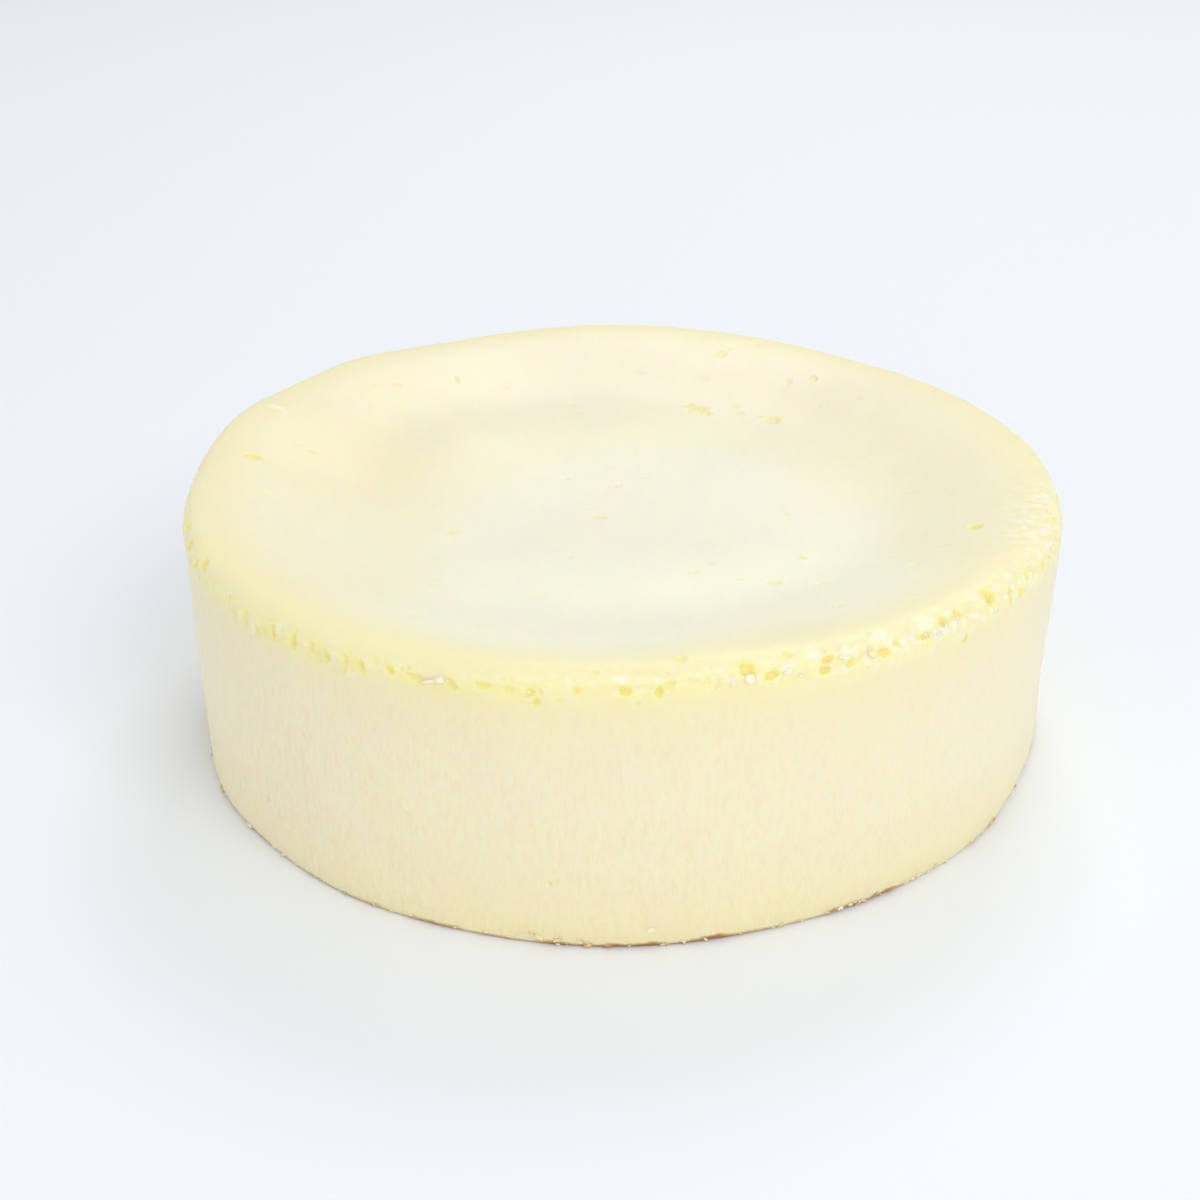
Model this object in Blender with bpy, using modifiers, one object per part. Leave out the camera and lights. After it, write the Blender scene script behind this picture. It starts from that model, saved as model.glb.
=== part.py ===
"""A baked cheesecake: one turned solid with a sunken top, a soft uneven rim and a worn foot.

Units are metres, +Z is up, and the origin is the middle of the flat underside.
Azimuths are degrees round +Z, from +X towards +Y. The front of the cake faces -Y.
"""

import math

import bmesh
import bpy

CAKE = "cheesecake"

# Driving dimensions: a 20 cm straight-sided tin, filled to a little over 6 cm.
TIN_RADIUS = 0.1000
RIM_HEIGHT = 0.0621

# The side leans out by this much from the foot to the rim.
SIDE_DRAFT = 0.0005

# The foot: a small round where the batter met the tin's floor.
FOOT_ROUND = 0.0015
FOOT_TUCK_HEIGHT = 0.0040

# The rim is rounded outside, then falls to a nearly flat sunken middle.
LIP_ROUND = 0.0054
SLOPE_END_RADIUS = 0.0560
DISH_DEPTH = 0.0080
DISH_SAG = 0.0010

# How finely the turned shape is divided.
TURN_STEPS = 132
FOOT_STEPS = 3
SIDE_STEPS = 7
LIP_STEPS = 6
SLOPE_STEPS = 8
FLOOR_STEPS = 5
MERGE_DISTANCE = 0.00001

# Uneven baking. Each swell of the rim: azimuth, half-width in degrees, rise, push outwards.
RIM_SWELLS = (
    (25.0, 14.0, 0.0000, -0.0012),
    (48.0, 18.0, -0.0016, -0.0004),
    (90.0, 14.0, 0.0006, 0.0000),
    (136.0, 10.0, 0.0014, 0.0003),
    (160.0, 12.0, 0.0015, 0.0003),
    (181.0, 14.0, 0.0000, -0.0010),
    (282.0, 9.0, 0.0009, 0.0000),
    (335.0, 14.0, 0.0003, 0.0015),
)
# Where the foot stands out or is worn back: azimuth, half-width in degrees, push outwards.
FOOT_SWELLS = (
    (190.0, 14.0, -0.0006),
    (207.0, 10.0, 0.0005),
    (236.0, 12.0, 0.0006),
    (268.0, 14.0, 0.0005),
    (288.0, 10.0, -0.0006),
    (304.0, 9.0, -0.0006),
    (340.0, 12.0, -0.0004),
    (358.0, 14.0, 0.0008),
)
# Where the lowest few millimetres tuck in under the side: azimuth, half-width in degrees, depth.
FOOT_TUCKS = (
    (214.0, 20.0, 0.0008),
    (334.0, 9.0, 0.0008),
)
# Broad rises and dips of the sunken middle: azimuth, radius, half-width, rise.
DISH_SWELLS = (
    (20.0, 0.048, 0.026, 0.0006),
    (95.0, 0.040, 0.030, 0.0005),
    (140.0, 0.058, 0.022, 0.0040),
    (200.0, 0.050, 0.028, -0.0008),
    (276.0, 0.058, 0.028, 0.0050),
)

CUSTARD_COLOUR = (0.905, 0.840, 0.610)
CUSTARD_ROUGHNESS = 0.55


def clear_scene():
    """Remove whatever the scene holds, so that the cake stands alone."""
    for old in list(bpy.data.objects):
        bpy.data.objects.remove(old, do_unlink=True)


def smooth_step(share):
    """Rise from 0 to 1 with level ends."""
    share = min(max(share, 0.0), 1.0)
    return share * share * (3.0 - 2.0 * share)


def bell(distance, half_width):
    """A smooth bump: 1 in the middle, about a third at the half-width."""
    return math.exp(-((distance / half_width) ** 2))


def turn_between(azimuth, middle):
    """The angle in degrees between two azimuths, the short way round."""
    return abs((azimuth - middle + 180.0) % 360.0 - 180.0)


def foot_profile():
    """The rounded lower corner, from the underside up to the side."""
    flat_end = TIN_RADIUS - SIDE_DRAFT - FOOT_ROUND
    points = []
    for step in range(FOOT_STEPS + 1):
        turn = math.pi / 2.0 * step / FOOT_STEPS
        points.append((flat_end + FOOT_ROUND * math.sin(turn), FOOT_ROUND * (1.0 - math.cos(turn))))
    return points


def side_profile():
    """The side, which leans out with the tin. Its points gather towards the foot."""
    tall = RIM_HEIGHT - LIP_ROUND - FOOT_ROUND
    points = []
    for step in range(1, SIDE_STEPS + 1):
        share = (step / SIDE_STEPS) ** 1.5
        points.append((TIN_RADIUS - SIDE_DRAFT * (1.0 - share), FOOT_ROUND + tall * share))
    return points


def lip_profile():
    """A quarter round from the side up to the crest of the rim."""
    points = []
    for step in range(1, LIP_STEPS + 1):
        turn = math.pi / 2.0 * step / LIP_STEPS
        radius = TIN_RADIUS - LIP_ROUND * (1.0 - math.cos(turn))
        points.append((radius, RIM_HEIGHT - LIP_ROUND * (1.0 - math.sin(turn))))
    return points


def top_profile():
    """The slope inside the rim, then the nearly flat middle."""
    crest = TIN_RADIUS - LIP_ROUND
    floor = RIM_HEIGHT - DISH_DEPTH
    points = []
    for step in range(1, SLOPE_STEPS + 1):
        share = step / SLOPE_STEPS
        radius = crest + (SLOPE_END_RADIUS - crest) * share
        points.append((radius, RIM_HEIGHT - DISH_DEPTH * smooth_step(share)))
    for step in range(1, FLOOR_STEPS + 1):
        share = step / FLOOR_STEPS
        points.append((SLOPE_END_RADIUS * (1.0 - share), floor - DISH_SAG * smooth_step(share)))
    return points


def cake_profile():
    """The whole outline at +X, down its outer side: middle of the top to middle of the underside."""
    upward = [(0.0, 0.0)] + foot_profile() + side_profile() + lip_profile() + top_profile()
    return upward[::-1]


def turn_profile(profile):
    """Turn the outline round the upright axis and return the closed mesh."""
    outline = bpy.data.meshes.new(CAKE + "_outline")
    points = [(radius, 0.0, height) for radius, height in profile]
    edges = [(index, index + 1) for index in range(len(points) - 1)]
    outline.from_pydata(points, edges, [])
    lathe = bpy.data.objects.new(CAKE + "_lathe", outline)
    bpy.context.scene.collection.objects.link(lathe)
    screw = lathe.modifiers.new("turn", "SCREW")
    screw.axis = "Z"
    screw.angle = 2.0 * math.pi
    screw.steps = TURN_STEPS
    screw.render_steps = TURN_STEPS
    screw.use_merge_vertices = True
    screw.merge_threshold = MERGE_DISTANCE
    graph = bpy.context.evaluated_depsgraph_get()
    turned = bpy.data.meshes.new_from_object(lathe.evaluated_get(graph))
    bpy.data.objects.remove(lathe, do_unlink=True)
    bpy.data.meshes.remove(outline)
    return turned


def rim_change(azimuth):
    """How much the rim rises and stands out at an azimuth, against a perfectly turned rim."""
    rise = 0.0
    push = 0.0
    for middle, half_width, swell_rise, swell_push in RIM_SWELLS:
        share = bell(turn_between(azimuth, middle), half_width)
        rise += swell_rise * share
        push += swell_push * share
    return rise, push


def foot_change(azimuth, height):
    """How far the foot stands out at an azimuth, less the tuck at its very bottom."""
    push = 0.0
    for middle, half_width, swell_push in FOOT_SWELLS:
        push += swell_push * bell(turn_between(azimuth, middle), half_width)
    tuck_share = max(0.0, 1.0 - height / FOOT_TUCK_HEIGHT)
    for middle, half_width, depth in FOOT_TUCKS:
        push -= depth * tuck_share * bell(turn_between(azimuth, middle), half_width)
    return push


def dish_change(x, y):
    """How much the sunken middle rises at a place."""
    rise = 0.0
    for middle, radius, half_width, swell_rise in DISH_SWELLS:
        away_x = x - radius * math.cos(math.radians(middle))
        away_y = y - radius * math.sin(math.radians(middle))
        rise += swell_rise * bell(math.hypot(away_x, away_y), half_width)
    return rise


def bake_uneven(mesh):
    """Move the turned shape's points to the uneven rim, foot and middle of a real bake."""
    shape = bmesh.new()
    shape.from_mesh(mesh)
    for point in shape.verts:
        x, y, z = point.co
        radius = math.hypot(x, y)
        azimuth = math.degrees(math.atan2(y, x)) % 360.0
        rise, push = rim_change(azimuth)
        up_share = smooth_step(z / RIM_HEIGHT)
        out_share = smooth_step(radius / TIN_RADIUS)
        outward = push * up_share + foot_change(azimuth, z) * (1.0 - up_share)
        spread = 1.0 + outward / TIN_RADIUS
        lift = rise * out_share * z / RIM_HEIGHT
        if z > RIM_HEIGHT / 2.0:
            lift += dish_change(x, y) * (1.0 - out_share)
        point.co = (x * spread, y * spread, z + lift)
    shape.to_mesh(mesh)
    shape.free()


def custard():
    """Baked cream-cheese custard: pale warm yellow with a soft satin face."""
    material = bpy.data.materials.new("baked_custard")
    material.use_nodes = True
    shader = material.node_tree.nodes["Principled BSDF"]
    shader.inputs["Base Color"].default_value = (*CUSTARD_COLOUR, 1.0)
    shader.inputs["Roughness"].default_value = CUSTARD_ROUGHNESS
    shader.inputs["Metallic"].default_value = 0.0
    return material


def make_cake():
    """Build the cake in a collection of its own."""
    mesh = turn_profile(cake_profile())
    bake_uneven(mesh)
    mesh.name = CAKE
    mesh.materials.append(custard())
    mesh.shade_smooth()
    group = bpy.data.collections.new("baked " + CAKE)
    bpy.context.scene.collection.children.link(group)
    group.objects.link(bpy.data.objects.new(CAKE, mesh))


clear_scene()
make_cake()
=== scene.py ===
import math
import random

import bmesh
import bpy
from mathutils import Matrix, Vector, noise


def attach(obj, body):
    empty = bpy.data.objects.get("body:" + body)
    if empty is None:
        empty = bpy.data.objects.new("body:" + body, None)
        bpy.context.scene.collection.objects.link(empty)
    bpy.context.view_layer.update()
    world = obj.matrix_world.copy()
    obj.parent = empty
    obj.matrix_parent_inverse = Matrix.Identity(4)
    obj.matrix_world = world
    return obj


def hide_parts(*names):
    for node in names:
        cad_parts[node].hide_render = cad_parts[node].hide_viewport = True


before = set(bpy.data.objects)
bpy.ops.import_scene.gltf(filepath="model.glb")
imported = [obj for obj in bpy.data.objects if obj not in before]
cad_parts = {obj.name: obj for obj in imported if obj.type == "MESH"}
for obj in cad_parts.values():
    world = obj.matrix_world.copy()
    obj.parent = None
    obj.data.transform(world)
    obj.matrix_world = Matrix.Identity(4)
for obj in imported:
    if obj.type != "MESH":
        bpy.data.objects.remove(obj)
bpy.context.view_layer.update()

# ---------------------------------------------------------------------------------------------
# The cake: one piece of cream-cheese custard, baked in a straight-sided 20 cm tin and turned out
# whole. The middle sank as it cooled, bubbles burst in a ring where the top meets the side, the
# side kept a fine upright grain from the tin's lining, and the foot browned along its edge.

MM = 0.001
TIN_RADIUS = 100.0 * MM
RIM_HEIGHT = 62.1 * MM
SIDE_DRAFT = 0.5 * MM
FOOT_ROUND = 1.5 * MM
FOOT_TUCK_HEIGHT = 4.0 * MM
LIP_ROUND = 5.4 * MM
LIP_LENGTH = LIP_ROUND * math.pi / 2.0
CREST_RADIUS = TIN_RADIUS - LIP_ROUND
SHOULDER_HEIGHT = RIM_HEIGHT - LIP_ROUND
SLOPE_END_RADIUS = 56.0 * MM
DISH_DEPTH = 8.0 * MM
DISH_SAG = 1.0 * MM

# Swells of the rim. Each: azimuth and half-width in degrees, rise and push outwards in mm.
RIM_SWELLS = (
    (25, 14, 0.0, -1.2),
    (48, 18, -1.6, -0.4),
    (90, 14, 0.6, 0.0),
    (136, 10, 1.4, 0.3),
    (160, 12, 1.5, 0.3),
    (181, 14, 0.0, -1.0),
    (282, 9, 0.9, 0.0),
    (335, 14, 0.3, 1.5),
)
# Swells of the foot. Each: azimuth and half-width in degrees, push outwards in mm.
FOOT_SWELLS = (
    (190, 14, -0.6),
    (207, 10, 0.5),
    (236, 12, 0.6),
    (268, 14, 0.5),
    (288, 10, -0.6),
    (304, 9, -0.6),
    (340, 12, -0.4),
    (358, 14, 0.8),
)
# Where the foot tucks under. Each: azimuth and half-width in degrees, depth in mm.
FOOT_TUCKS = ((214, 20, 0.8), (334, 9, 0.8))
# Low swells of the sunken middle. Each: azimuth in degrees, radius, half-width and rise in mm. The
# rise fades towards the rim, so that about half of it is left.
DISH_SWELLS = (
    (20, 48, 26, 0.6),
    (95, 40, 30, 0.5),
    (140, 58, 22, 4.0),
    (200, 50, 28, -0.8),
    (276, 58, 28, 5.0),
)


def smooth_step(share):
    """Rise from 0 to 1 with level ends."""
    share = min(max(share, 0.0), 1.0)
    return share * share * (3.0 - 2.0 * share)


def bell(distance, half_width):
    """A smooth bump, 1 in the middle."""
    return math.exp(-((distance / half_width) ** 2))


def turn_from(azimuth, middle):
    """The signed angle in degrees from one azimuth to another, the short way round."""
    return (azimuth - middle + 180.0) % 360.0 - 180.0


def slope_height(radius):
    """Height of the top inside the crest of the rim."""
    share = (CREST_RADIUS - radius) / (CREST_RADIUS - SLOPE_END_RADIUS)
    sag_share = 1.0 - radius / SLOPE_END_RADIUS
    return RIM_HEIGHT - DISH_DEPTH * smooth_step(share) - DISH_SAG * smooth_step(sag_share)


def cake_outline():
    """The outline at +X, from the middle of the underside up to the middle of the top."""
    flat_end = TIN_RADIUS - SIDE_DRAFT - FOOT_ROUND
    points = [(0.0, 0.0), (0.5 * TIN_RADIUS, 0.0), (0.95 * TIN_RADIUS, 0.0)]
    for turn in (0, 22, 45, 68, 90):
        out = FOOT_ROUND * math.sin(math.radians(turn))
        points.append((flat_end + out, FOOT_ROUND * (1.0 - math.cos(math.radians(turn)))))
    side_rows = 26
    for row in range(1, side_rows + 1):
        share = row / side_rows
        height = FOOT_ROUND + (SHOULDER_HEIGHT - FOOT_ROUND) * share
        points.append((TIN_RADIUS - SIDE_DRAFT * (1.0 - share), height))
    lip_rows = 8
    for row in range(1, lip_rows + 1):
        turn = math.pi / 2.0 * row / lip_rows
        radius = CREST_RADIUS + LIP_ROUND * math.cos(turn)
        points.append((radius, SHOULDER_HEIGHT + LIP_ROUND * math.sin(turn)))
    top_rows = 44
    for row in range(1, top_rows + 1):
        radius = CREST_RADIUS * (1.0 - row / top_rows)
        points.append((radius, slope_height(radius)))
    return points


def turn_outline(points, steps):
    """Turn an outline round the upright axis into a closed mesh."""
    shape = bmesh.new()
    dots = [shape.verts.new((radius, 0.0, height)) for radius, height in points]
    lines = [shape.edges.new(pair) for pair in zip(dots, dots[1:])]
    bmesh.ops.spin(
        shape, geom=dots + lines, cent=(0, 0, 0), axis=(0, 0, 1),
        angle=2.0 * math.pi, steps=steps, use_merge=True,
    )
    bmesh.ops.remove_doubles(shape, verts=shape.verts, dist=0.001 * MM)
    bmesh.ops.recalc_face_normals(shape, faces=shape.faces)
    return shape


def skin_place(point):
    """Where a point lies on the skin: its azimuth in degrees, and how far it is below the crest of
    the rim in mm, measured along the skin. Inside the rim that distance is negative."""
    azimuth = math.degrees(math.atan2(point.y, point.x)) % 360.0
    radius = math.hypot(point.x, point.y)
    if radius < CREST_RADIUS and point.z > RIM_HEIGHT / 2.0:
        below = radius - CREST_RADIUS
    elif point.z > SHOULDER_HEIGHT:
        below = LIP_ROUND * math.atan2(radius - CREST_RADIUS, point.z - SHOULDER_HEIGHT)
    else:
        below = LIP_LENGTH + SHOULDER_HEIGHT - point.z
    return azimuth, below / MM


def bake_uneven(point):
    """Move a point of the turned form to the uneven rim, foot and middle of the real bake."""
    azimuth, below = skin_place(point)
    rise = 0.0
    rim_push = 0.0
    for middle, half_width, swell_rise, swell_push in RIM_SWELLS:
        share = bell(turn_from(azimuth, middle), half_width)
        rise += swell_rise * share
        rim_push += swell_push * share
    foot_push = 0.0
    for middle, half_width, push in FOOT_SWELLS:
        foot_push += push * bell(turn_from(azimuth, middle), half_width)
    tuck_share = max(0.0, 1.0 - point.z / FOOT_TUCK_HEIGHT)
    for middle, half_width, depth in FOOT_TUCKS:
        foot_push -= depth * tuck_share * bell(turn_from(azimuth, middle), half_width)
    up_share = smooth_step(point.z / RIM_HEIGHT)
    out_share = smooth_step(math.hypot(point.x, point.y) / TIN_RADIUS)
    outward = (rim_push * up_share + foot_push * (1.0 - up_share)) * MM
    lift = rise * out_share * point.z / RIM_HEIGHT
    if below < 0.0:
        for middle, radius, half_width, swell_rise in DISH_SWELLS:
            facing = Matrix.Rotation(math.radians(middle), 3, "Z")
            away = (point - facing @ Vector((radius * MM, 0.0, point.z))).length / MM
            lift += swell_rise * bell(away, half_width) * (1.0 - out_share)
    spread = 1.0 + outward / TIN_RADIUS
    return Vector((point.x * spread, point.y * spread, point.z + lift * MM))


# Burst bubbles of the rim. Each: azimuth in degrees, mm below the crest, width, height and depth
# in mm, lean in degrees. At the front left they are upright slots at the top of the side, and at
# the front right they are rounder and sit on the lip.
RIM_BUBBLES = (
    (213, 7, 1.6, 2.0, 0.6, 0),
    (217, 7, 1.2, 1.8, 0.7, 0),
    (221, 8.5, 1.4, 4.2, 0.7, 5),
    (223.5, 10, 1.5, 2.4, 0.6, 0),
    (226.3, 8, 1.8, 4.0, 1.2, 5),
    (230, 8, 2.0, 4.0, 1.3, 10),
    (233, 7.5, 1.8, 2.8, 0.8, 5),
    (235.3, 8.3, 1.8, 3.0, 0.9, 0),
    (238, 7.6, 1.7, 3.0, 0.9, 0),
    (240.3, 7.8, 2.0, 2.8, 1.0, -5),
    (244, 7.0, 2.0, 1.9, 0.9, 0),
    (247, 7.4, 3.2, 1.8, 0.7, 0),
    (251.5, 7.6, 2.8, 2.4, 0.8, 20),
    (255.2, 6.6, 3.0, 1.9, 0.8, 0),
    (258, 7.2, 2.3, 2.0, 0.7, 0),
    (260.4, 7.2, 1.8, 2.2, 0.8, 15),
    (261, 9.2, 1.6, 1.6, 0.8, -25),
    (265.5, 6.2, 1.9, 1.9, 0.7, 0),
    (270.6, 6.5, 2.6, 2.2, 1.3, 20),
    (274.2, 7.0, 1.6, 2.6, 1.2, 5),
    (275.5, 5.7, 1.8, 1.9, 0.6, -15),
    (278.0, 5.2, 2.4, 1.3, 0.4, 10),
    (277, 0.2, 2.4, 2.0, 0.6, 0),
    (280.6, 6.2, 1.5, 1.6, 0.4, 0),
    (284, 4.4, 3.4, 2.9, 1.6, 20),
    (286.6, 6.0, 3.3, 2.0, 1.3, -15),
    (289, 2.4, 2.4, 1.5, 0.55, 0),
    (293, 6.5, 2.3, 2.0, 1.4, 0),
    (293.6, 4.4, 2.6, 1.3, 1.3, -20),
    (296.4, 6.2, 2.4, 1.8, 0.9, 0),
    (300.8, 5.8, 2.8, 2.3, 1.0, 20),
    (302.8, 4.8, 2.2, 1.6, 0.9, 0),
    (306.9, 5.6, 3.0, 1.8, 0.7, 10),
    (310, 4.4, 2.4, 1.9, 0.9, 20),
    (312.5, 4.0, 2.4, 1.7, 0.9, 10),
    (313.4, 10.2, 1.1, 1.8, 0.8, 0),
    (318.7, 4.2, 2.9, 3.9, 1.8, -25),
    (322.6, 6.0, 1.5, 1.8, 0.8, 0),
    (324.8, 7.4, 1.9, 1.9, 1.0, 0),
    (326.8, 5.0, 1.8, 1.8, 0.8, 0),
    (331.5, 6.0, 2.0, 1.7, 0.7, 0),
    (338.8, 5.6, 1.6, 2.3, 0.9, 0),
    (342, 4.0, 1.7, 1.9, 0.9, 0),
)
# Shallow hollows at the left, where several bubbles ran together, laid out in the same way.
RUN_TOGETHER = (
    (218.3, 9.0, 2.6, 4.4, 0.40, 0),
    (220.8, 9.0, 2.0, 5.0, 0.40, 0),
    (225.0, 8.6, 4.2, 3.6, 0.45, 0),
    (233.6, 8.2, 5.6, 3.8, 0.45, 0),
    (239.2, 7.6, 6.0, 3.4, 0.50, 0),
    (247.2, 7.4, 3.4, 2.4, 0.40, 0),
    (258.5, 7.6, 4.0, 2.4, 0.30, 0),
)
# Pale patches along the ring, where the skin tore and dried. They are laid out as the bubbles are,
# and a negative depth is a rise.
RIM_PATCHES = (
    (219.6, 8.6, 0.9, 3.6, -0.10, 0),
    (222.6, 9.4, 0.9, 3.8, -0.12, 0),
    (227.6, 6.2, 1.2, 2.2, -0.12, 0),
    (232.2, 8.0, 0.8, 2.6, -0.08, 0),
    (236.5, 7.8, 1.0, 3.0, -0.10, 0),
    (236.0, 5.0, 4.0, 1.5, -0.04, 0),
    (241.4, 7.6, 0.8, 2.2, -0.08, 0),
    (239.0, 10.2, 3.0, 1.4, -0.06, 0),
    (245.5, 5.5, 3.4, 1.1, -0.05, 0),
    (260.5, 4.6, 5.0, 1.1, -0.06, 0),
    (263.0, 4.0, 2.6, 1.1, -0.06, 0),
    (264.5, 4.5, 1.6, 2.6, -0.12, 0),
    (270.0, 4.0, 4.2, 1.8, -0.15, 0),
    (288.5, 5.0, 3.4, 1.4, -0.18, 0),
    (292.0, 3.2, 4.0, 2.0, -0.18, 0),
    (296.0, 4.0, 3.4, 2.0, -0.20, 0),
    (301.0, 2.5, 5.0, 2.4, -0.15, 0),
    (303.5, 5.0, 2.6, 1.5, -0.18, 0),
    (307.5, 3.0, 5.0, 4.0, -0.15, 0),
    (310.0, 6.2, 2.6, 1.5, -0.15, 0),
    (311.5, 5.6, 2.6, 1.1, -0.15, 0),
    (316.0, 2.6, 2.6, 1.1, -0.15, 0),
)
# Marks on the top. Each: azimuth in degrees, radius, width and length in mm, depth in mm, lean in
# degrees. A negative depth is a raised bit. They lie the way the batter settled, along +X.
TOP_MARKS = (
    (70.6, 83.2, 2.8, 3.6, 0.5, 0),
    (54.9, 77.8, 1.8, 2.4, 0.4, 0),
    (51.1, 81.6, 2.2, 3.0, 0.55, 0),
    (39.5, 79.7, 2.2, 1.6, 0.4, 0),
    (32.5, 75.7, 2.0, 1.4, 0.3, 0),
    (69.2, 57.8, 5.4, 3.4, 1.2, 8),
    (66.4, 56.4, 3.0, 3.0, 1.0, -20),
    (71.8, 58.9, 3.0, 2.2, 0.8, 25),
    (58.6, 60.3, 2.8, 1.4, 0.5, 0),
    (50, 61.7, 3.8, 3.8, 1.0, 10),
    (71.6, 71.8, 3.0, 1.8, 0.3, 10),
    (61.4, 62.8, 2.6, 1.4, 0.4, 0),
    (85.3, 71.7, 3.0, 1.8, 0.3, 10),
    (123.3, 76.2, 1.3, 2.6, 0.5, 0),
    (158.8, 90.3, 5.0, 2.0, -0.6, -20),
    (175.5, 86.6, 3.9, 3.0, 1.2, 0),
    (206.8, 42.1, 2.2, 1.9, 0.6, 0),
    (248.1, 12.2, 3.8, 1.7, 0.8, 0),
    (250.2, 77.2, 3.4, 1.2, 0.4, 0),
    (263.8, 69.9, 2.0, 1.2, 0.3, 0),
    (289.6, 47.2, 2.0, 1.6, 0.6, 0),
    (305.2, 57.2, 3.0, 1.8, 0.7, 15),
    (303.3, 79.7, 1.9, 1.6, 0.6, 20),
    (310.9, 64.2, 2.2, 1.4, 0.5, 0),
    (318.9, 52.3, 2.4, 1.7, 0.6, 20),
    (322.3, 67.4, 2.0, 1.2, 0.3, 0),
    (323.3, 76.8, 2.0, 1.2, 0.5, 15),
    (330.9, 78.6, 2.2, 1.4, 0.3, 0),
    (337.6, 82, 3.4, 2.8, 1.5, 30),
    (355.7, 39.5, 2.0, 1.2, 0.4, 0),
    (358.5, 67.5, 2.2, 1.0, 0.4, 0),
    (17.3, 64.6, 2.4, 1.6, -0.3, 10),
    (138.7, 16.2, 1.6, 1.2, 0.4, 0),
)

# How far below the crest the ring of burst bubbles runs in mm, how much lower it drops at the
# front left, and the azimuth and half-width of that drop in degrees.
RING_BELOW = 5.3
RING_DROP = 3.2
RING_DROP_MIDDLE = 222.0
RING_DROP_WIDTH = 35.0
# How many small bubbles lie along the ring, fine marks on the top and pits on the back.
SMALL_BUBBLES = 150
FINE_MARKS = 90
BACK_PITS = 9

chance = random.Random(20)


def ring_place(azimuth):
    """How far below the crest the ring of burst bubbles runs, in mm."""
    return RING_BELOW + RING_DROP * bell(turn_from(azimuth, RING_DROP_MIDDLE), RING_DROP_WIDTH)


def rim_bubbles():
    """The large bubbles of the front, ones like them round the back, and small ones all round."""
    found = list(RIM_BUBBLES + RUN_TOGETHER + RIM_PATCHES)
    azimuth = -14.0
    while azimuth < 210.0:
        below = 6.0 + chance.gauss(0.0, 1.0)
        wide, tall = chance.uniform(1.1, 3.2), chance.uniform(1.5, 3.0)
        depth, lean = chance.uniform(0.6, 1.3), chance.uniform(-25, 25)
        found.append((azimuth, below, wide, tall, depth, lean))
        azimuth += chance.uniform(2.2, 4.6)
    for _ in range(SMALL_BUBBLES):
        azimuth = chance.uniform(0.0, 360.0)
        wide = chance.uniform(0.6, 1.3)
        below = ring_place(azimuth) + chance.gauss(0.0, 1.6)
        tall, lean = wide * chance.uniform(0.8, 1.6), chance.uniform(-40, 40)
        found.append((azimuth, below, wide, tall, 0.4 * wide, lean))
    return found


def top_marks():
    """The marks of the top as places on the skin, and fine ones between them."""
    found = []
    for azimuth, radius, *shape in TOP_MARKS:
        found.append((azimuth, radius - CREST_RADIUS / MM, *shape))
    for _ in range(FINE_MARKS):
        radius = CREST_RADIUS / MM * math.sqrt(chance.uniform(0.002, 0.96))
        wide = chance.uniform(0.7, 1.9)
        long = wide * chance.uniform(0.4, 0.8)
        azimuth, lean = chance.uniform(0.0, 360.0), chance.uniform(-20, 20)
        found.append((azimuth, radius - CREST_RADIUS / MM, wide, long, 0.22 * wide, lean))
    return found


# Small pits of the side, laid out as the bubbles are.
SIDE_PITS = (
    (221.6, 51.2, 1.1, 1.5, 0.5, 0),
    (245, 39.5, 1.0, 1.5, 0.5, 0),
    (262, 50.2, 1.0, 1.6, 0.5, 0),
)


def side_pits():
    """The pits of the front, and a few like them round the back."""
    found = list(SIDE_PITS)
    pit_chance = random.Random(5)
    for _ in range(BACK_PITS):
        wide = pit_chance.uniform(0.8, 1.2)
        place = (pit_chance.uniform(-20.0, 200.0), pit_chance.uniform(22.0, 56.0))
        found.append((*place, wide, 1.4 * wide, 0.45 * wide, 0))
    return found


# The side in mm of the squares that the marks are sorted into, and how far a mark's golden edge
# and its raised lip reach past its size.
BIN = 3.0
MARK_MARGIN = 1.5


def laid_flat(azimuth, below):
    """A place on the skin laid out as a flat disc, whose radius is measured along the skin."""
    return Matrix.Rotation(math.radians(azimuth), 2) @ Vector((CREST_RADIUS / MM + below, 0.0))


def sort_into_bins(marks, on_top, bins):
    """Put each mark in every square of the flat disc that it reaches."""
    for number, (azimuth, below, wide, tall, depth, lean) in enumerate(marks):
        middle = laid_flat(azimuth, below)
        facing = math.radians(lean if on_top else azimuth + 90.0 - lean)
        mark = (number, middle, wide / 2.0, tall / 2.0, depth, Matrix.Rotation(-facing, 2))
        reach = max(wide, tall) + MARK_MARGIN
        for column in range(int((middle.x - reach) // BIN), int((middle.x + reach) // BIN) + 1):
            for row in range(int((middle.y - reach) // BIN), int((middle.y + reach) // BIN) + 1):
                bins.setdefault((column, row), []).append(mark)


marks_in_bins = {}
sort_into_bins(rim_bubbles() + side_pits(), False, marks_in_bins)
sort_into_bins(top_marks(), True, marks_in_bins)


def marks_near(azimuth, below):
    """(how far out from its middle, size, depth) for each mark near a place. It ends at 1 out."""
    place = laid_flat(azimuth, below)
    square = (int(place.x // BIN), int(place.y // BIN))
    found = []
    for number, middle, half_wide, half_tall, depth, turn in marks_in_bins.get(square, ()):
        away = turn @ (place - middle)
        if below > 0.0:
            away.x *= min(1.0, TIN_RADIUS / MM / place.length)
        wobble = noise.noise(Vector((away.x * 0.9 + number * 7.3, away.y * 0.9, number * 1.7)))
        out = math.hypot(away.x / half_wide, away.y / half_tall) * (1.0 + 0.35 * wobble)
        found.append((out, 2.0 * max(half_wide, half_tall), depth))
    return found


def roughness_at(azimuth, below):
    """How rough the torn skin is at a place: along the ring at the front right, and on the rim at
    the right."""
    ring = bell(turn_from(azimuth, 316.0), 36.0) * bell(below - ring_place(azimuth), 3.2)
    return max(ring, 0.8 * bell(turn_from(azimuth, 342.0), 13.0) * bell(below + 1.0, 6.5))


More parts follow.
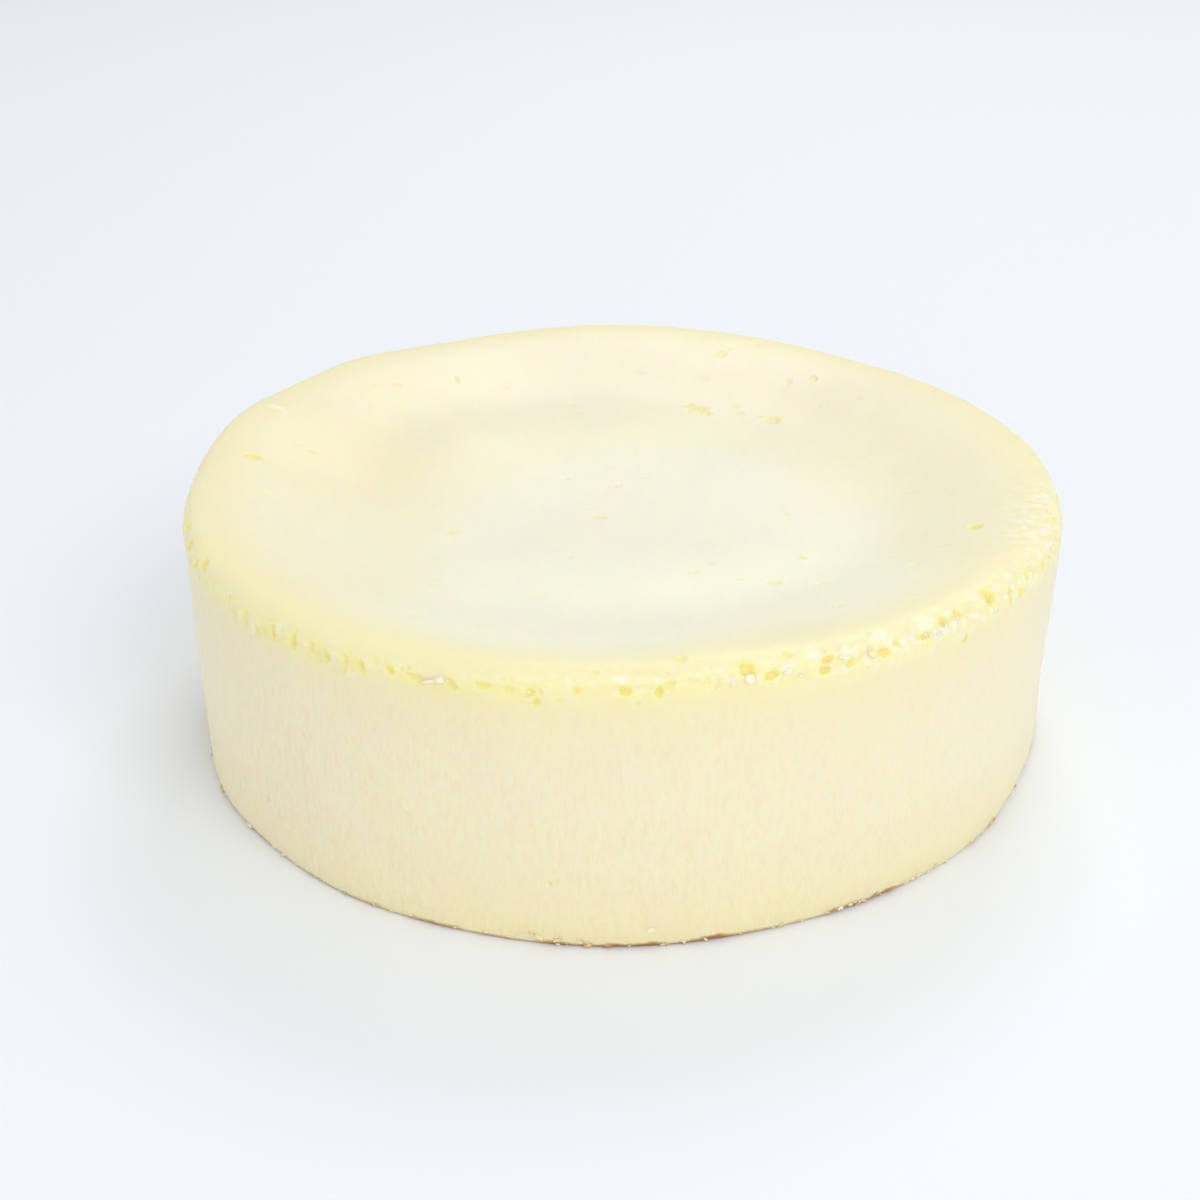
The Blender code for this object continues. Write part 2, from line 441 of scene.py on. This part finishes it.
# Rounds of splitting the faces. Each: how far out from a mark it reaches, and the size and depth
# in mm above which a mark is in it.
REFINE_ROUNDS = ((2.4, 0.0, 0.0), (1.8, 0.0, 0.2), (1.4, 1.1, 0.4))


def refine_round_marks(shape):
    """Split the faces round each mark until its wall has several rows of faces, and those of the
    rough skin until they are finer than its lumps."""
    for margin, smallest, shallowest in REFINE_ROUNDS:
        lines = set()
        for face in shape.faces:
            middle = face.calc_center_median()
            if middle.z < FOOT_TUCK_HEIGHT:
                continue
            place = skin_place(middle)
            if smallest == 0.0 and roughness_at(*place) > 0.25:
                lines.update(face.edges)
                continue
            for out, size, depth in marks_near(*place):
                if out < margin and size > smallest and abs(depth) > shallowest:
                    lines.update(face.edges)
                    break
        bmesh.ops.subdivide_edges(shape, edges=list(lines), cuts=1, use_grid_fill=True)


def skin_edge(azimuth):
    """How far below the crest the smooth top skin ends, in mm. Its edge is ragged."""
    around = Matrix.Rotation(math.radians(azimuth), 3, "Z") @ Vector((1.0, 0.0, 0.0))
    edge = ring_place(azimuth) - 1.0 + 1.3 * noise.noise(around * 34.0)
    return edge + 0.5 * noise.noise(around * 90.0)


def relief(azimuth, below, point):
    """(lift of the skin in mm, share of gold and painted glow, share of pale torn skin) at a place.
    """
    lift = 0.0
    gold_and_glow = 0.0
    torn = 0.0
    deepest = 0.0
    # Each mark has a bowl, a golden inside that reaches a little past it, and a low raised lip. The
    # gold is partly the custard's own yellow and partly painted glow of light scattered inside it.
    for out, _, depth in marks_near(azimuth, below):
        down = smooth_step((1.2 - out) / 0.7)
        if depth < 0.0:
            lift -= depth * down
            torn = max(torn, min(0.7, -4.5 * depth) * down)
            continue
        deepest = max(deepest, 0.55 * depth * down * (1.1 - 0.25 * min(out, 1.2) ** 2))
        gold_and_glow = max(gold_and_glow, min(1.0, depth / 0.8) * smooth_step((1.75 - out) / 1.1))
        lift += 0.05 * depth * bell(out - 1.35, 0.25)
    # The marks of the top are paler inside than the ring's, and the pits of the side palest.
    on_top = smooth_step((-2.0 - below) / 4.0)
    on_side = smooth_step((below - 16.0) / 4.0)
    gold_and_glow *= 1.0 - 0.45 * on_top - 0.75 * on_side
    # A golden band runs along the ring, broken up by upright gaps.
    spot = point / MM
    from_ring = below - ring_place(azimuth)
    left = bell(turn_from(azimuth, 225.0), 45.0)
    upright = noise.noise(Vector((spot.x / 1.3, spot.y / 1.3, below / 9.0)))
    band = bell(from_ring - 0.8, 2.3) * smooth_step(0.55 + 1.3 * upright)
    gold_and_glow = max(gold_and_glow, (0.30 + 0.45 * left) * band)
    # The top skin ends in a small ledge. All of it is a little lumpy, the torn skin more so.
    ledge = 0.25 * smooth_step((below - skin_edge(azimuth)) / 0.9)
    lift += 0.14 * noise.noise(spot / 9.0) + 0.26 * noise.noise(spot / 28.0)
    rough = roughness_at(azimuth, below)
    lift += (0.03 + 0.34 * rough) * noise.noise(spot / 1.9)
    bits = noise.noise(spot / 1.3 + Vector((5.0, 0.0, 0.0)))
    torn_bits = smooth_step(2.4 * bits) * (0.25 * bell(from_ring + 0.8, 3.0) + 0.9 * rough)
    torn = max(torn, torn_bits * (1.0 - gold_and_glow))
    return lift - ledge - deepest, gold_and_glow, torn


# Where the foot browned. Each: azimuth and half-width in degrees, strength. Past 1 it only makes
# the dark line fuller; that dark line along the very edge is partly painted contact shadow.
FOOT_BROWNS_AND_SHADOW = (
    (207, 6, 0.45),
    (219, 8, 0.50),
    (236, 8, 0.55),
    (248.5, 4, 1.2),
    (255.5, 5, 1.3),
    (263.5, 4, 1.5),
    (270.5, 6, 2.2),
    (279.5, 5, 1.35),
    (288, 6, 1.0),
    (300, 8, 1.3),
    (326, 8, 0.55),
    (345, 6, 0.60),
)


def foot_brown_and_shadow_places():
    """The browned and painted-shadow places of the front, then the same kind round the back."""
    found = list(FOOT_BROWNS_AND_SHADOW)
    azimuth = -4.0
    while azimuth < 198.0:
        found.append((azimuth, chance.uniform(3, 9), chance.uniform(0.35, 1.0)))
        azimuth += chance.uniform(8, 20)
    return found


foot_browns_and_shadow = foot_brown_and_shadow_places()

# The underside, inside this radius, is like the side and only faintly golden.
UNDERSIDE_RADIUS = 0.96 * TIN_RADIUS
UNDERSIDE_BROWN = 0.12


def browning_and_shadow(azimuth, point):
    """Browning of the foot, with its painted contact shadow, or of the underside, at a place."""
    if math.hypot(point.x, point.y) < UNDERSIDE_RADIUS:
        return UNDERSIDE_BROWN
    return max(
        strength * bell(turn_from(azimuth, middle), half_width)
        for middle, half_width, strength in foot_browns_and_shadow)


TURN_STEPS = 360
# Below this height the relief dies away, so that the cake stands flat.
CALM_HEIGHT = 3.0 * MM
# What the mesh tells the finish at each of its points.
LAYERS = ("gold_and_glow", "torn", "brown_and_shadow", "below_crest")


def bake_cake():
    """The turned form, refined round its marks, then given its relief and unevenness."""
    shape = turn_outline(cake_outline(), TURN_STEPS)
    refine_round_marks(shape)
    shape.normal_update()
    layers = [shape.verts.layers.float.new(name) for name in LAYERS]
    moved = []
    for point in shape.verts:
        azimuth, below = skin_place(point.co)
        lift, gold_and_glow, torn = relief(azimuth, below, point.co)
        for layer, value in zip(layers, (gold_and_glow, torn, browning_and_shadow(azimuth, point.co), below * MM)):
            point[layer] = value
        calm = smooth_step(point.co.z / CALM_HEIGHT)
        moved.append(bake_uneven(point.co) + point.normal * lift * calm * MM)
    for point, place in zip(shape.verts, moved):
        point.co = place
    bmesh.ops.triangulate(shape, faces=[face for face in shape.faces if len(face.verts) > 4])
    return shape


def finished(shape, name, material):
    """Make a smooth mesh object of a shape, with its finish."""
    mesh = bpy.data.meshes.new(name)
    shape.to_mesh(mesh)
    shape.free()
    mesh.shade_smooth()
    mesh.materials.append(material)
    piece = bpy.data.objects.new(name, mesh)
    bpy.context.scene.collection.objects.link(piece)
    return piece


def linear(hex_colour):
    """An sRGB hex colour as linear red, green, blue and alpha."""
    parts = [int(hex_colour[place:place + 2], 16) / 255.0 for place in (0, 2, 4)]
    light = [
        part / 12.92 if part <= 0.04045 else ((part + 0.055) / 1.055) ** 2.4 for part in parts]
    return light + [1.0]


def new_material(name):
    """(material, node tree, shader) of a new material."""
    material = bpy.data.materials.new(name)
    material.use_nodes = True
    tree = material.node_tree
    return material, tree, tree.nodes["Principled BSDF"]


def add_node(tree, kind, inputs, stops=(), **settings):
    """Add a node with its settings. An input is a number, a hex colour or another node's output;
    stops are the (place, hex colour) pairs of a colour ramp."""
    node = tree.nodes.new("ShaderNode" + kind)
    for name, value in settings.items():
        setattr(node, name, value)
    for name, value in inputs.items():
        if isinstance(value, bpy.types.NodeSocket):
            tree.links.new(value, node.inputs[name])
        else:
            node.inputs[name].default_value = linear(value) if isinstance(value, str) else value
    for number, (place, colour) in enumerate(stops):
        if number >= 2:
            node.color_ramp.elements.new(place)
        node.color_ramp.elements[number].position = place
        node.color_ramp.elements[number].color = linear(colour)
    return node


# Slow tones of the top. Each: x and y of its middle, the radius it fills and the radius where it
# has faded in mm, share, colour. The middle is palest. The slope at the front is brightened with
# painted light, which hides the shade it gets as it faces away from the lamps, and the slopes at
# the back, the left and the right are a shade deeper.
TOP_TONES_AND_PAINTED_LIGHT = (
    (12, -22, 38, 60, 1.0, "f8f2dd"),
    (-4, 75, 12, 44, 0.85, "f2ebd4"),
    (46, 62, 12, 36, 0.8, "f3ebd2"),
    (-70, 50, 4, 46, 0.75, "f1e9c6"),
    (-62, 12, 2, 40, 0.7, "f2e9c2"),
    (-52, -78, 6, 26, 0.5, "f9f3da"),
    (66, 12, 8, 38, 0.6, "f1eccc"),
    # Painted light: these two brighten the slope at the front, which faces away from the lamps.
    (-6, -70, 24, 48, 0.9, "fff9df"),
    (44, -56, 12, 36, 0.85, "fff9dc"),
)
# How high the middles of these tones lie, and how far their edges wander, in mm.
TONE_HEIGHT = 55
TONE_WANDER = 24


def baked_custard():
    """Baked cream-cheese custard: dense, pale and a little translucent. The top skin is smooth and
    palest in the middle, yellower towards the rim and golden inside the burst bubbles; that gold
    is partly painted glow, and the slope at the front of the top is brightened with painted light.
    The side has a fine upright grain, painted darker in its hollows and paler on its ridges, and is
    buttery beige, a shade warmer at the left as painted shade. The foot is browned in patches, and
    its very edge is darkened further by painted contact shadow."""
    material, tree, shader = new_material("baked_custard")
    place = add_node(tree, "TexCoord", {}).outputs["Object"]
    across = add_node(tree, "SeparateXYZ", {0: place}).outputs
    gold_and_glow, torn, brown_and_shadow, below = [
        add_node(tree, "Attribute", {}, attribute_name=name).outputs["Fac"] for name in LAYERS]
    on_top = add_node(
        tree, "MapRange", {"Value": below, "From Min": 0.0, "From Max": -12 * MM}).outputs[0]
    on_side = add_node(
        tree, "MapRange", {"Value": below, "From Min": 7 * MM, "From Max": 14 * MM}).outputs[0]

    # Colour along the skin, from the middle of the top, over the rim, down to the foot. On the top
    # the bands wander by up to 7 mm, and at the left and right they reach up to 7 mm further in.
    slow = add_node(
        tree, "TexNoise", {"Vector": place, "Scale": 14.0, "Detail": 2.0}).outputs["Fac"]
    wander = add_node(
        tree, "MapRange", {"Value": slow, "To Min": -7 * MM, "To Max": 7 * MM}).outputs[0]
    sideways = add_node(tree, "Math", {0: across["X"]}, operation="ABSOLUTE").outputs[0]
    rim_spread = add_node(
        tree, "MapRange",
        {"Value": sideways, "From Min": 40 * MM, "From Max": 95 * MM, "To Max": 7 * MM}).outputs[0]
    shift = add_node(tree, "Math", {0: wander, 1: rim_spread}, operation="ADD").outputs[0]
    shifted = add_node(
        tree, "Math", {0: shift, 1: on_top, 2: below}, operation="MULTIPLY_ADD").outputs[0]
    along = add_node(
        tree, "MapRange",
        {"Value": shifted, "From Min": -94 * MM, "From Max": 76 * MM}).outputs[0]
    body = add_node(tree, "ValToRGB", {"Fac": along}, stops=(
        (0.00, "f8f1d4"),
        (0.38, "f8f1d4"),
        (0.44, "f8f0d2"),
        (0.50, "f8f0d0"),
        (0.53, "f7eec8"),
        (0.553, "f5edc0"),
        (0.577, "f6eec2"),
        (0.592, "f8edbf"),
        (0.605, "f8ecbf"),
        (0.62, "f8ebc1"),
        (0.64, "f8ebc4"),
        (0.68, "f8ebc9"),
        (0.73, "f8eccb"),
        (0.81, "f8ecca"),
        (0.86, "f8eac6"),
        (0.895, "f8eac2"),
        (0.92, "f8e8bb"),
    )).outputs[0]

    # Slow tones of the top, partly painted light, each fading out over a ragged edge.
    for x, y, near, far, most, tone in TOP_TONES_AND_PAINTED_LIGHT:
        away = add_node(
            tree, "VectorMath", {0: place, 1: (x * MM, y * MM, TONE_HEIGHT * MM)},
            operation="DISTANCE").outputs["Value"]
        ragged_away = add_node(
            tree, "Math", {0: slow, 1: TONE_WANDER * MM, 2: away},
            operation="MULTIPLY_ADD").outputs[0]
        faded, full = (far + TONE_WANDER / 2) * MM, (near + TONE_WANDER / 2) * MM
        share = add_node(
            tree, "MapRange",
            {"Value": ragged_away, "From Min": faded, "From Max": full, "To Max": most},
            interpolation_type="SMOOTHSTEP").outputs[0]
        top_share = add_node(tree, "Math", {0: share, 1: on_top}, operation="MULTIPLY").outputs[0]
        body = add_node(
            tree, "Mix", {0: top_share, 6: body, 7: tone}, data_type="RGBA").outputs[2]

    # Warm blotches on the side, 10 to 20 mm across.
    blotch = add_node(
        tree, "TexNoise", {"Vector": place, "Scale": 45.0, "Detail": 4.0}).outputs["Fac"]
    blotch_share = add_node(
        tree, "MapRange",
        {"Value": blotch, "From Min": 0.42, "From Max": 0.7, "To Max": 0.25}).outputs[0]
    side_blotch = add_node(
        tree, "Math", {0: blotch_share, 1: on_side}, operation="MULTIPLY").outputs[0]
    body = add_node(
        tree, "Mix", {0: side_blotch, 6: body, 7: "f6e7cd"}, data_type="RGBA").outputs[2]

    # Painted shade: the left of the side is tinted a shade warmer and darker, for the dimmer,
    # warmer light that falls there.
    leftward_shade = add_node(
        tree, "MapRange",
        {"Value": across["X"], "From Min": -20 * MM, "From Max": -92 * MM, "To Max": 0.35},
    ).outputs[0]
    left_side_shade = add_node(tree, "Math", {0: leftward_shade, 1: on_side}, operation="MULTIPLY").outputs[0]
    body = add_node(
        tree, "Mix", {0: left_side_shade, 6: body, 7: "f6e7c3"}, data_type="RGBA").outputs[2]

    # The upright grain: marks about 1 mm wide and 3 mm tall, in patches, strongest at the left and
    # low down. Its colour follows its relief: the hollows carry painted shade and the ridges a
    # painted highlight.
    upright = add_node(
        tree, "Mapping", {"Vector": place, "Scale": (1.0, 1.0, 0.32)}).outputs[0]
    grain = add_node(
        tree, "TexNoise",
        {"Vector": upright, "Scale": 1000.0, "Detail": 1.5, "Roughness": 0.5, "Distortion": 0.4},
    ).outputs["Fac"]
    patches = add_node(
        tree, "TexNoise", {"Vector": place, "Scale": 25.0, "Detail": 1.0}).outputs["Fac"]
    grain_where = add_node(
        tree, "MapRange",
        {"Value": patches, "From Min": 0.3, "From Max": 0.65, "To Min": 0.4}).outputs[0]
    leftness = add_node(
        tree, "MapRange",
        {"Value": across["X"], "From Min": -60 * MM, "From Max": 60 * MM, "To Min": 1.0,
         "To Max": 0.5}).outputs[0]
    low_down = add_node(
        tree, "MapRange",
        {"Value": below, "From Min": 16 * MM, "From Max": 46 * MM, "To Min": 0.7, "To Max": 1.35},
    ).outputs[0]
    for share in (leftness, low_down, on_side):
        grain_where = add_node(
            tree, "Math", {0: grain_where, 1: share}, operation="MULTIPLY").outputs[0]
    for start, full, most, tone in ((0.48, 0.3, 0.28, "ecdcae"), (0.52, 0.72, 0.34, "fbf3e0")):
        painted_grain_light = add_node(
            tree, "MapRange",
            {"Value": grain, "From Min": start, "From Max": full, "To Max": most}).outputs[0]
        share = add_node(tree, "Math", {0: painted_grain_light, 1: grain_where}, operation="MULTIPLY").outputs[0]
        body = add_node(tree, "Mix", {0: share, 6: body, 7: tone}, data_type="RGBA").outputs[2]

    # Golden inside the burst bubbles, partly the custard's own yellow and partly painted glow of
    # light scattered inside it, and cream where the skin tore.
    body = add_node(tree, "Mix", {0: gold_and_glow, 6: body, 7: "fbeca0"}, data_type="RGBA").outputs[2]
    body = add_node(tree, "Mix", {0: torn, 6: body, 7: "fbf8e6"}, data_type="RGBA").outputs[2]

    # Browning of the foot: a ragged line up to 2 mm tall, golden above and brown along its edge.
    # The darkest brown at the very edge is partly painted contact shadow, where the cake meets the
    # floor.
    speck = add_node(
        tree, "TexNoise",
        {"Vector": place, "Scale": 130.0, "Detail": 4.0, "Roughness": 0.6}).outputs["Fac"]
    line_top = add_node(
        tree, "MapRange",
        {"Value": speck, "From Min": 0.3, "From Max": 0.7, "To Min": 0.45 * MM, "To Max": 2.0 * MM},
    ).outputs[0]
    under_top = add_node(
        tree, "Math", {0: line_top, 1: across["Z"]}, operation="SUBTRACT").outputs[0]
    in_line = add_node(
        tree, "MapRange", {"Value": under_top, "From Min": -0.5 * MM, "From Max": 0.9 * MM},
        interpolation_type="SMOOTHSTEP").outputs[0]
    mottle = add_node(
        tree, "MapRange",
        {"Value": blotch, "From Min": 0.38, "From Max": 0.6, "To Min": 0.35}).outputs[0]
    mottled = add_node(tree, "Math", {0: mottle, 1: brown_and_shadow}, operation="MULTIPLY").outputs[0]
    browned_and_shadowed = add_node(tree, "Math", {0: in_line, 1: mottled}, operation="MULTIPLY").outputs[0]
    crust_and_shadow = add_node(tree, "ValToRGB", {"Fac": browned_and_shadowed}, stops=(
        (0.0, "f1deab"),
        (0.45, "dcb67a"),
        (1.0, "a8713f"),
    )).outputs[0]
    crust_and_shadow_share = add_node(tree, "MapRange", {"Value": browned_and_shadowed, "From Max": 0.35}).outputs[0]
    body = add_node(
        tree, "Mix", {0: crust_and_shadow_share, 6: body, 7: crust_and_shadow}, data_type="RGBA").outputs[2]

    # Fine curd all over, 1 to 2 mm long, drawn out along X as the batter was spread, and under it
    # the grain of the side.
    drawn_out = add_node(
        tree, "Mapping", {"Vector": place, "Scale": (0.4, 1.0, 1.0)}).outputs[0]
    curd = add_node(
        tree, "TexNoise", {"Vector": drawn_out, "Scale": 1500.0, "Detail": 3.0}).outputs["Fac"]
    curd_bump = add_node(
        tree, "Bump", {"Height": curd, "Distance": 0.05 * MM, "Strength": 0.5}).outputs[0]
    grain_height = add_node(
        tree, "Math", {0: grain, 1: grain_where}, operation="MULTIPLY").outputs[0]
    grain_bump = add_node(
        tree, "Bump",
        {"Height": grain_height, "Distance": 0.45 * MM, "Strength": 0.7, "Normal": curd_bump},
    ).outputs[0]
    tree.links.new(body, shader.inputs["Base Color"])
    tree.links.new(grain_bump, shader.inputs["Normal"])
    shader.inputs["Roughness"].default_value = 0.40
    shader.inputs["IOR"].default_value = 1.45
    shader.inputs["Subsurface Weight"].default_value = 0.9
    shader.inputs["Subsurface Radius"].default_value = (1.0, 0.7, 0.3)
    shader.inputs["Subsurface Scale"].default_value = 4.0 * MM
    return material


cake = finished(bake_cake(), "cake", baked_custard())
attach(cake, "root")
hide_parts("cheesecake")

# ---------------------------------------------------------------------------------------------
# Torn flakes: thin pale bits of the top skin that lifted when the bubbles burst and the lining
# was pulled away. They cling along the ring of bubbles, most of them at the front right, and one
# caught low on the side.

# The large flakes. Each: azimuth in degrees, mm below the crest, width, height, lean in degrees.
RIM_FLAKES = (
    (222.4, 11.0, 1.0, 1.0, 0),
    (248.8, 7.7, 3.0, 0.8, 16),
    (250.1, 7.0, 1.9, 1.5, 30),
    (284.2, 6.2, 2.0, 1.5, 8),
    (288.6, 5.6, 1.6, 0.9, 10),
    (295.4, 4.6, 1.5, 1.0, 0),
    (299.2, 5.6, 1.7, 1.1, -20),
    (273.5, 60.8, 1.7, 0.9, 0),
)
SMALL_FLAKES = 110


def skin_point(azimuth, below):
    """(place, outward direction) of a place on the skin of the rim or side."""
    turn = min(max(below * MM, 0.0) / LIP_ROUND, math.pi / 2.0)
    radius = CREST_RADIUS + min(below * MM, 0.0) + LIP_ROUND * math.sin(turn)
    height = SHOULDER_HEIGHT + LIP_ROUND * math.cos(turn) - max(0.0, below * MM - LIP_LENGTH)
    if height < SHOULDER_HEIGHT:
        radius -= SIDE_DRAFT * (SHOULDER_HEIGHT - height) / (SHOULDER_HEIGHT - FOOT_ROUND)
    in_round = max(0.0, FOOT_ROUND - height)
    radius -= FOOT_ROUND - math.sqrt(FOOT_ROUND**2 - in_round**2)
    facing = Matrix.Rotation(math.radians(azimuth), 3, "Z")
    outward = facing @ Vector((math.sin(turn), 0.0, math.cos(turn)))
    return bake_uneven(facing @ Vector((radius, 0.0, height))), outward


def add_bit(shape, place, outward, size, lean, detail):
    """Add one lumpy bit, its width and height across the skin and its thickness along outward."""
    rounds = bmesh.ops.create_icosphere(shape, subdivisions=detail, radius=0.5 * MM)
    seed = Vector((chance.uniform(0, 99), 0.0, 0.0))
    for point in rounds["verts"]:
        point.co *= 1.0 + 0.7 * noise.noise(point.co / (0.45 * MM) + seed)
    stretch = Matrix.Diagonal(size).to_4x4()
    lie = Matrix.Rotation(math.radians(lean), 4, "Z")
    face_out = outward.to_track_quat("Z", "Y").to_matrix().to_4x4()
    bmesh.ops.transform(
        shape, verts=rounds["verts"], matrix=Matrix.Translation(place) @ face_out @ lie @ stretch)
    for point in rounds["verts"]:
        point.co.z = max(point.co.z, 0.0)


def tear_flakes():
    """The large flakes, then small ones strewn along the ring."""
    shape = bmesh.new()
    for azimuth, below, wide, tall, lean in RIM_FLAKES:
        place, outward = skin_point(azimuth, below)
        add_bit(shape, place - outward * 0.15 * MM, outward, (wide, tall, 0.5), lean, 3)
    for _ in range(SMALL_FLAKES):
        azimuth = chance.gauss(312.0, 16.0) if chance.random() < 0.5 else chance.uniform(0.0, 360.0)
        place, outward = skin_point(azimuth, ring_place(azimuth) - 0.5 + chance.gauss(0.0, 1.4))
        wide = chance.uniform(0.3, 0.8)
        size = (wide, wide * chance.uniform(0.6, 1.2), wide * 0.45)
        add_bit(shape, place - outward * 0.12 * MM, outward, size, chance.uniform(0, 180), 2)
    return shape


def torn_skin():
    """Dried cream-cheese skin, torn: cream coloured, a little paler than the lip, and matte."""
    material, tree, shader = new_material("torn_skin")
    place = add_node(tree, "TexCoord", {}).outputs["Object"]
    tone = add_node(tree, "TexNoise", {"Vector": place, "Scale": 400.0, "Detail": 2.0})
    colour = add_node(tree, "ValToRGB", {"Fac": tone.outputs["Fac"]}, stops=(
        (0.35, "fbf0c4"),
        (0.6, "fdf6da"),
    ))
    fine = add_node(tree, "TexNoise", {"Vector": place, "Scale": 2500.0, "Detail": 2.0})
    bump = add_node(tree, "Bump", {"Height": fine.outputs["Fac"], "Distance": 0.06 * MM})
    tree.links.new(colour.outputs[0], shader.inputs["Base Color"])
    tree.links.new(bump.outputs[0], shader.inputs["Normal"])
    shader.inputs["Roughness"].default_value = 0.55
    return material


flakes = finished(tear_flakes(), "rim_flakes", torn_skin())
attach(flakes, "root")

# ---------------------------------------------------------------------------------------------
# Crumbs: small bits of baked custard left along the foot where the lining came away, from almost
# white to toasted brown. A few are thin curls; all of them cling to the edge of the cake.

# The large crumbs. Each: azimuth in degrees, height in mm, width, height and thickness, lean.
FOOT_CRUMBS = (
    (205.0, 0.9, 2.0, 1.3, 1.0, 0),
    (215.0, 0.8, 1.8, 1.1, 1.0, 10),
    (258.9, 2.2, 2.8, 0.4, 0.4, 30),
    (260.5, 2.0, 2.6, 0.4, 0.4, -38),
    (262.8, 1.6, 2.4, 0.5, 0.5, 12),
    (265.4, 1.5, 1.5, 0.6, 0.5, -20),
    (266.3, 0.8, 1.7, 0.9, 0.7, 10),
    (268.6, 0.9, 1.7, 0.8, 0.5, 0),
    (295.5, 0.9, 1.6, 0.6, 0.5, 0),
    (297.0, 1.1, 1.5, 0.6, 0.5, 15),
    (300.5, 0.9, 1.7, 0.6, 0.5, -15),
    (302.0, 1.2, 1.6, 0.5, 0.5, 25),
    (304.5, 0.9, 1.4, 0.6, 0.5, 0),
    (307.0, 0.9, 1.3, 0.5, 0.5, 0),
    (308.0, 1.2, 1.1, 0.6, 0.5, 20),
    (319.5, 1.4, 1.0, 0.8, 0.6, 0),
    (325.5, 1.2, 1.0, 0.7, 0.6, 20),
    (332.5, 1.4, 1.0, 0.8, 0.6, 0),
)
FINE_CRUMBS = 150


def drop_crumbs():
    """The large crumbs, then fine ones all round the foot."""
    shape = bmesh.new()
    for azimuth, height, wide, tall, thick, lean in FOOT_CRUMBS:
        place, outward = skin_point(azimuth, (LIP_LENGTH + SHOULDER_HEIGHT) / MM - height)
        add_bit(shape, place, outward, (wide, tall, thick), lean, 3)
    for _ in range(FINE_CRUMBS):
        azimuth = chance.gauss(299.0, 12.0) if chance.random() < 0.2 else chance.uniform(0.0, 360.0)
        height = chance.uniform(0.35, 1.5)
        wide = chance.uniform(0.4, 1.1)
        size = (1.2 * wide, wide * chance.uniform(0.35, 0.65), wide * chance.uniform(0.35, 0.6))
        place, outward = skin_point(azimuth, (LIP_LENGTH + SHOULDER_HEIGHT) / MM - height)
        add_bit(shape, place, outward, size, chance.uniform(-40, 40), 2)
    return shape


def toasted_crumb():
    """Baked custard crumbs: dry and matte, cream inside, toasted golden or brown where they
    touched the tin."""
    material, tree, shader = new_material("toasted_crumb")
    place = add_node(tree, "TexCoord", {}).outputs["Object"]
    toast = add_node(tree, "TexNoise", {"Vector": place, "Scale": 330.0, "Detail": 1.0})
    colour = add_node(tree, "ValToRGB", {"Fac": toast.outputs["Fac"]}, stops=(
        (0.36, "c3935c"),
        (0.46, "ecd59c"),
        (0.56, "f8eecb"),
    ))
    fine = add_node(tree, "TexNoise", {"Vector": place, "Scale": 2500.0, "Detail": 2.0})
    bump = add_node(tree, "Bump", {"Height": fine.outputs["Fac"], "Distance": 0.08 * MM})
    tree.links.new(colour.outputs[0], shader.inputs["Base Color"])
    tree.links.new(bump.outputs[0], shader.inputs["Normal"])
    shader.inputs["Roughness"].default_value = 0.6
    return material


crumbs = finished(drop_crumbs(), "foot_crumbs", toasted_crumb())
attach(crumbs, "root")

# ---------------------------------------------------------------------------------------------
# The stage: a plain pale floor under soft studio light, seen from the front and a little above.


def pale_card():
    """Matte pale card, which gives the cake an even light ground."""
    material, _, shader = new_material("pale_card")
    shader.inputs["Base Color"].default_value = linear("f2f7fd")
    shader.inputs["Roughness"].default_value = 0.7
    return material


floor_shape = bmesh.new()
bmesh.ops.create_grid(floor_shape, x_segments=2, y_segments=2, size=6.0)
floor = finished(floor_shape, "floor", pale_card())


def soft_lamp(name, place, size, power):
    """A square soft box that faces the cake."""
    data = bpy.data.lights.new(name, "AREA")
    data.shape = "SQUARE"
    data.size = size
    data.energy = power
    lamp = bpy.data.objects.new(name, data)
    lamp.location = place
    to_cake = Vector((0.0, 0.0, RIM_HEIGHT / 2.0)) - lamp.location
    lamp.rotation_euler = to_cake.to_track_quat("-Z", "Y").to_euler()
    bpy.context.scene.collection.objects.link(lamp)


world = bpy.data.worlds.new("studio")
bpy.context.scene.world = world
world.use_nodes = True
background = world.node_tree.nodes["Background"]
background.inputs["Color"].default_value = linear("ffffff")
background.inputs["Strength"].default_value = 0.69
soft_lamp("key", (0.65, -1.0, 1.1), 0.8, 7.2)
soft_lamp("fill", (-0.9, -1.3, 0.45), 1.2, 2.2)
soft_lamp("back", (0.25, 1.0, 1.25), 0.6, 4.2)
bpy.context.scene.view_settings.view_transform = "Standard"

camera_data = bpy.data.cameras.new("camera")
camera_data.lens = 57.0
camera_data.sensor_width = 36.0
camera = bpy.data.objects.new("camera", camera_data)
camera.location = (-0.1 * MM, -404.1 * MM, 234.8 * MM)
ahead = Vector((-4.5 * MM, 0.0, 26.7 * MM)) - camera.location
roll = Matrix.Rotation(math.radians(-0.56), 3, "Z")
camera.rotation_euler = (ahead.to_track_quat("-Z", "Y").to_matrix() @ roll).to_euler()
bpy.context.scene.collection.objects.link(camera)
bpy.context.scene.camera = camera
